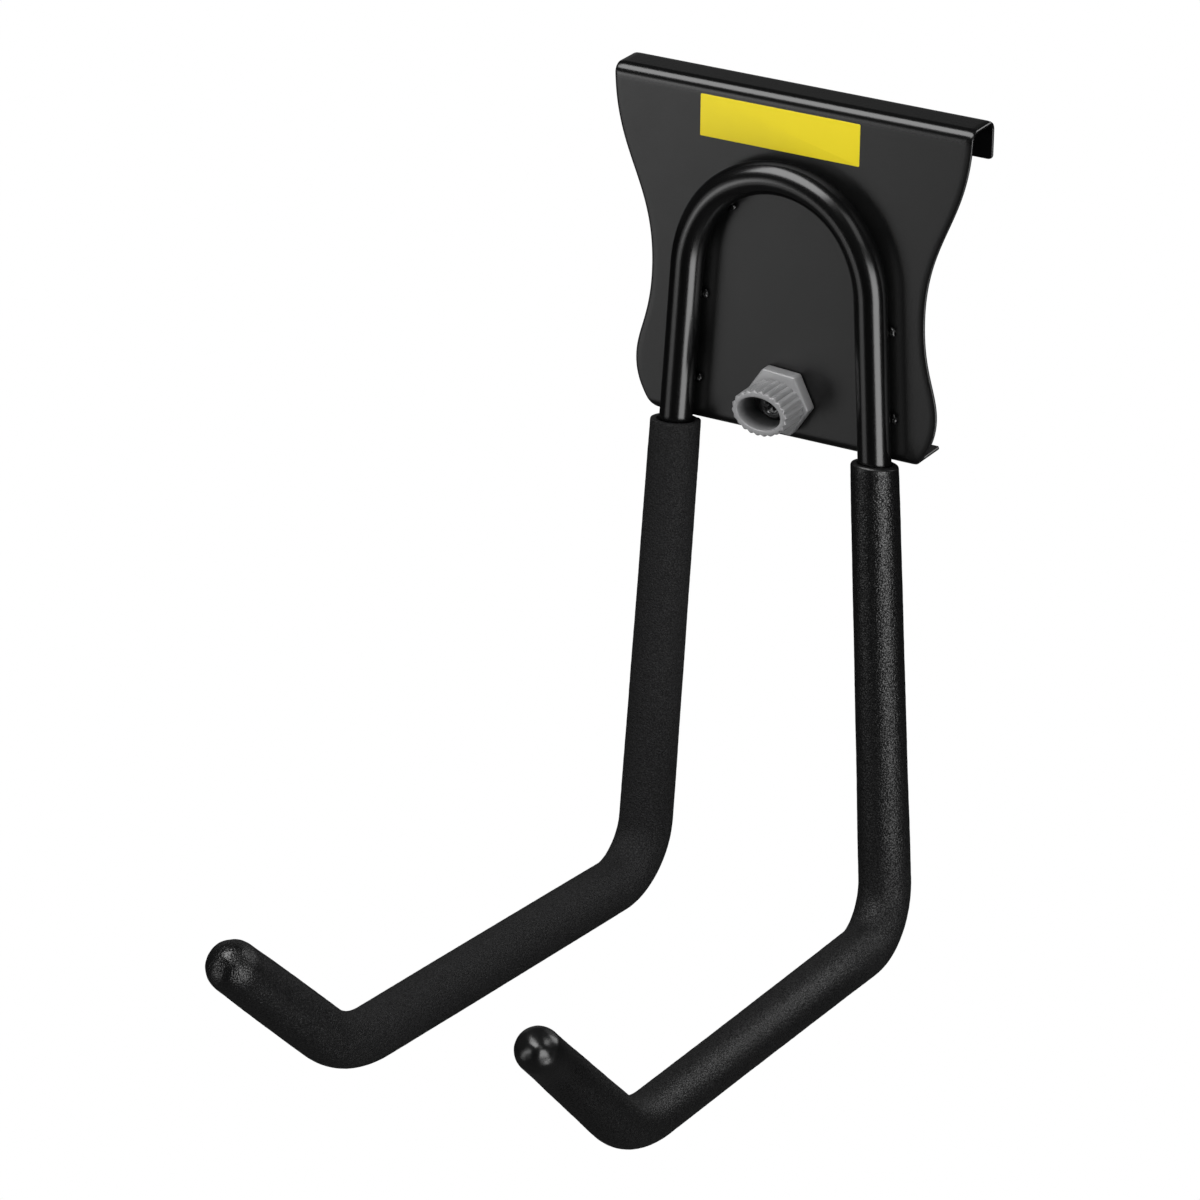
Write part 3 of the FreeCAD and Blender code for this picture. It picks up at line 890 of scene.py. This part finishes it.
def knob_point(x, y, z):
    """Point given from the knob's axis, turned with the knob."""
    return (x * math.cos(knob_turn) - z * math.sin(knob_turn), y,
            lock_z + x * math.sin(knob_turn) + z * math.cos(knob_turn))


barrel_turns = oval_turns(barrel_half_width, barrel_half_height, flute_count * points_per_flute)


def barrel_ring(half_width, half_height, y, flute):
    """Ring round the oval barrel; flute is the depth of the grooves between the ribs."""
    ring = []
    for k, turn in enumerate(barrel_turns):
        swell = abs(math.sin(math.pi * k / points_per_flute))
        rib = rib_fullness * swell + (1 - rib_fullness) * swell * swell
        normal = Vector((math.cos(turn) / half_width, math.sin(turn) / half_height)).normalized()
        dent = flute * (1 - rib)
        ring.append(knob_point(half_width * math.cos(turn) - normal.x * dent, y,
                               half_height * math.sin(turn) - normal.y * dent))
    return ring


barrel_rings = []
base_plane = flange_front_plane + barrel_root
barrel_length = flange_front_plane - rim_plane - rim_outer_round
outer_levels = [base_plane, flange_front_plane, flange_front_plane - flute_start]
outer_levels += [flange_front_plane - barrel_length * k / 6 for k in range(1, 6)]
for y in outer_levels:
    barrel_rings.append(barrel_ring(barrel_half_width, barrel_half_height, y, flute_depth))
for angle in turned(0, 90, 6):
    inset = rim_outer_round * (1 - math.cos(angle))
    fade = flute_depth * math.cos(angle) ** 0.5
    barrel_rings.append(barrel_ring(barrel_half_width - inset, barrel_half_height - inset,
                                    rim_plane + rim_outer_round * (1 - math.sin(angle)), fade))
hollow_width = barrel_half_width - barrel_wall
hollow_height = barrel_half_height - barrel_wall
for angle in turned(90, 0, 5):
    grow = rim_inner_round * (1 - math.cos(angle))
    barrel_rings.append(barrel_ring(hollow_width + grow, hollow_height + grow,
                                    rim_plane + rim_inner_round * (1 - math.sin(angle)), 0))
for share in (0.15, 0.4, 0.7, 1):
    y = rim_plane + rim_inner_round + share * (base_plane - rim_plane - rim_inner_round)
    barrel_rings.append(barrel_ring(hollow_width, hollow_height, y, 0))
barrel_rings.append(barrel_rings[0])
barrel = loft("grey_knob", barrel_rings, closed_ends=False)
clean_mesh(barrel)

corner_reach = across_flats / math.sqrt(3)
hexagon_rings = [[knob_point(corner_reach * math.cos(math.radians(60 * k)), y,
                             corner_reach * math.sin(math.radians(60 * k))) for k in range(6)]
                 for y in (flange_rear_plane, flange_front_plane)]
hexagon = loft("hexagon", hexagon_rings)
clean_mesh(hexagon, smooth=False)


def soften_edges(obj, width, segments):
    """Rounds every edge that is sharper than 40 degrees."""
    bevel = obj.modifiers.new("Soft edges", "BEVEL")
    bevel.width = width
    bevel.segments = segments
    bevel.limit_method = "ANGLE"
    bevel.angle_limit = math.radians(40)
    bake_modifiers(obj)


soften_edges(hexagon, flange_edge_round, 4)
combine(barrel, hexagon, "UNION")
way = loft("screw_way", front_rings([(flange_rear_plane + overlap, screw_way_radius),
                                     (flange_front_plane - overlap, screw_way_radius)], 32))
clean_mesh(way)
combine(barrel, way, "DIFFERENCE")
clean_mesh(barrel)
barrel.data.set_sharp_from_angle(angle=math.radians(42))

# Painted shade: the plastic's colour is darkened with depth in the hollow, where shade falls.
hollow_shade_shares = []
for vertex in barrel.data.vertices:
    x, y, z = vertex.co
    oval = math.hypot(x / (hollow_width + hollow_shade_margin),
                      (z - lock_z) / (hollow_height + hollow_shade_margin))
    hollow_shade_shares.append(clamped((y - rim_plane) / hollow_shade_fade) if oval < 1 else 0)
store_values(barrel, "hollow", hollow_shade_shares)
grey_plastic, tree, shader, place = new_material(
    "grey plastic", (0.29, 0.29, 0.295), (0.315, 0.315, 0.32),
    tone_size=2.5 * mm, roughness=(0.27, 0.32), specular=1.0)
# Painted shade: the base colour blends towards a dark shade colour deep in the hollow.
blend_color(tree, shader, stored_value(tree, "hollow"), hollow_shade_color)
add_grain(tree, shader, place, 0.35 * mm, 0.012 * mm)
paint(barrel, grey_plastic)
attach(barrel, "lock")
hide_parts("lock_knob")


# Lock screw: a black pan-head machine screw with a cross recess and a rolled thread, whose end
# comes out behind the plate through the nut.
screw_low, screw_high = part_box("lock_screw")
head_face = screw_low.y
head_under = flange_front_plane
head_radius = 4.5 * mm
head_round = 0.9 * mm
shank_radius = 2.45 * mm
thread_depth = 0.4 * mm
thread_pitch = 0.8 * mm
recess_width = 4.8 * mm
recess_slot = 1.1 * mm
recess_depth = 1.7 * mm
recess_overlap = 0.2 * mm
recess_taper = 0.3
tip_chamfer = 0.8 * mm
head_chamfer = 0.15 * mm
head_edge_round = 0.1 * mm
dish_rim = 2.75 * mm
dish_floor = 2.4 * mm
dish_depth = 0.3 * mm
head_core = 0.3 * mm
thread_start = head_under - 0.2 * mm
thread_around = 40
rows_per_pitch = 8
head_profile = [(head_under, head_core), (head_under, head_radius - head_chamfer),
                (head_under - head_chamfer, head_radius)]
head_profile += [(head_face + head_round * (1 - math.sin(angle)),
                  head_radius - head_round * (1 - math.cos(angle))) for angle in turned(0, 90, 8)]
head_profile += [(head_face, dish_rim), (head_face + dish_depth, dish_floor),
                 (head_face + dish_depth, head_core)]
head = loft("cross_screw", front_rings(head_profile))
clean_mesh(head)
for quarter in (45, 135):
    corners = []
    turn = math.radians(quarter)
    for y, half, thick in (
            (head_face - recess_overlap, recess_width / 2, recess_slot / 2),
            (head_face + recess_depth, recess_slot / 2, recess_slot * recess_taper)):
        ring = []
        for x, z in ((half, thick), (-half, thick), (-half, -thick), (half, -thick)):
            ring.append((x * math.cos(turn) - z * math.sin(turn), y,
                         lock_z + x * math.sin(turn) + z * math.cos(turn)))
        corners.append(ring)
    slot_cutter = loft("slot", corners)
    clean_mesh(slot_cutter, smooth=False)
    combine(head, slot_cutter, "DIFFERENCE")
clean_mesh(head)
soften_edges(head, head_edge_round, 2)

thread_rows = round((screw_high.y - head_under) / thread_pitch * rows_per_pitch)
thread_rings = [[(0, thread_start, lock_z)] * thread_around]
for row in range(thread_rows + 1):
    y = thread_start + (screw_high.y - thread_start) * row / thread_rows
    ring = []
    for k in range(thread_around):
        wave_place = (y / thread_pitch - k / thread_around) % 1
        radius = shank_radius - thread_depth * abs(2 * wave_place - 1)
        radius = min(radius, shank_radius - tip_chamfer + (screw_high.y - y))
        turn = 2 * math.pi * k / thread_around
        ring.append((radius * math.cos(turn), y, lock_z + radius * math.sin(turn)))
    thread_rings.append(ring)
thread_rings.append([(0, screw_high.y, lock_z)] * thread_around)
thread = loft("thread", thread_rings, closed_ends=False)
clean_mesh(thread)
combine(head, thread, "UNION")
clean_mesh(head)
head.data.set_sharp_from_angle(angle=math.radians(38))
black_screw, tree, shader, place = new_material(
    "blackened screw", (0.12, 0.12, 0.122), (0.16, 0.16, 0.162),
    tone_size=1 * mm, roughness=(0.14, 0.2), specular=0.9)
shader.inputs["Metallic"].default_value = 0.9
add_grain(tree, shader, place, 0.3 * mm, 0.01 * mm)
paint(head, black_screw)
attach(head, "lock")
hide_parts("lock_screw")


# Lock nut: a plain hexagon nut fixed behind the plate, with chamfered corners and a countersunk
# hole, blackened like the screw.
nut_rear = nut_high.y
nut_front = nut_low.y
nut_across_flats = 8 * mm
nut_reach = nut_across_flats / math.sqrt(3)
nut_bore_radius = 2.5 * mm
sink_radius = 2.95 * mm
sink_depth = 0.35 * mm
sink_overlap = 0.1 * mm
nut_face_radius = 4.05 * mm
nut_chamfer_radius = 6 * mm
nut_rings = [[(nut_reach * math.cos(math.radians(60 * k)), y,
               lock_z + nut_reach * math.sin(math.radians(60 * k))) for k in range(6)]
             for y in (nut_front, nut_rear)]
nut = loft("black_nut", nut_rings)
clean_mesh(nut, smooth=False)
rounding = loft("rounding", front_rings([(nut_front - overlap, nut_chamfer_radius),
                                         (nut_rear, nut_face_radius)], 64))
clean_mesh(rounding)
combine(nut, rounding, "INTERSECT")
bore = loft("nut_bore", front_rings([(nut_front - overlap, nut_bore_radius),
                                     (nut_rear - sink_depth, nut_bore_radius),
                                     (nut_rear + sink_overlap, sink_radius)], 40))
clean_mesh(bore)
combine(nut, bore, "DIFFERENCE")
clean_mesh(nut)
nut.data.set_sharp_from_angle(angle=math.radians(30))
paint(nut, black_screw)
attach(nut, "bracket")
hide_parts("lock_nut")


# Studio: a floor far below and surroundings that are white to the camera and dark to all else,
# soft lamps above, in front, behind and on both sides, and the camera at the photograph's angle.
floor_z = -1.1
floor_half = 6
corners = [(-floor_half, -floor_half, floor_z), (floor_half, -floor_half, floor_z),
           (floor_half, floor_half, floor_z), (-floor_half, floor_half, floor_z)]
floor_mesh = bpy.data.meshes.new("studio_floor")
floor_mesh.from_pydata(corners, [], [(0, 1, 2, 3)])
floor = new_object("studio_floor", floor_mesh)
floor_paint = bpy.data.materials.new("white floor")
floor_paint.use_nodes = True
tree = floor_paint.node_tree
diffuse = tree.nodes["Principled BSDF"]
diffuse.inputs["Base Color"].default_value = (0.06, 0.06, 0.06, 1)
diffuse.inputs["Roughness"].default_value = 0.9
glow = tree.nodes.new("ShaderNodeEmission")
rays = tree.nodes.new("ShaderNodeLightPath")
choose = add_node(tree, "ShaderNodeMixShader", {
    "Fac": rays.outputs["Is Camera Ray"], 1: diffuse.outputs[0], 2: glow.outputs[0]})
tree.links.new(choose.outputs[0], tree.nodes["Material Output"].inputs["Surface"])
floor_mesh.materials.append(floor_paint)

fill_level = 0.028
world = bpy.data.worlds.new("studio")
bpy.context.scene.world = world
world.use_nodes = True
tree = world.node_tree
background = tree.nodes["Background"]
background.inputs["Color"].default_value = (1, 1, 1, 1)
rays = tree.nodes.new("ShaderNodeLightPath")
level = add_range(tree, rays.outputs["Is Camera Ray"], fill_level, 1)
tree.links.new(level, background.inputs["Strength"])

lit_point = Vector((0, -0.09, -0.13))


def soft_lamp(name, azimuth, elevation, distance, width, height, level):
    """Rectangular lamp aimed at the hook; level is the brightness of its face."""
    lamp = bpy.data.lights.new(name, "AREA")
    lamp.shape = "RECTANGLE"
    lamp.size = width
    lamp.size_y = height
    lamp.energy = level * math.pi * width * height
    obj = new_object(name, lamp)
    a = math.radians(azimuth)
    e = math.radians(elevation)
    away = Vector((math.sin(a) * math.cos(e), -math.cos(a) * math.cos(e), math.sin(e)))
    obj.location = lit_point + away * distance
    obj.rotation_euler = away.to_track_quat("Z", "Y").to_euler()
    obj.visible_camera = False
    return obj


# Azimuth and elevation in degrees, distance, width and height in metres, brightness.
soft_lamp("lamp_above", -27, 62, 1.6, 1.7, 1.15, 3.8)
soft_lamp("lamp_right", 68, -13, 1.6, 1.1, 1.3, 3.3)
soft_lamp("lamp_right_high", 60, 36, 1.6, 0.7, 0.8, 0.8)
soft_lamp("lamp_left", -36, -7, 1.6, 0.45, 0.5, 1.5)
soft_lamp("lamp_left_wide", -41, -14, 1.7, 0.95, 1.5, 0.5)
soft_lamp("lamp_behind", -152, 9.5, 1.8, 2.2, 0.75, 0.15)
soft_lamp("lamp_behind_right", 150, 27, 1.8, 1.2, 1.15, 2.2)
front = soft_lamp("lamp_front", -15, 35, 1.8, 1.0, 1.0, 1.6)
front.visible_glossy = False

camera_data = bpy.data.cameras.new("photo_camera")
camera_data.lens = 180.45
camera_data.sensor_width = 36
camera = new_object("photo_camera", camera_data)
camera.location = (0.7752, -1.4675, 0.5700)
camera.rotation_euler = tuple(math.radians(angle) for angle in (66.202, -0.646, 30.1))
bpy.context.scene.camera = camera
bpy.context.scene.view_settings.view_transform = "Standard"
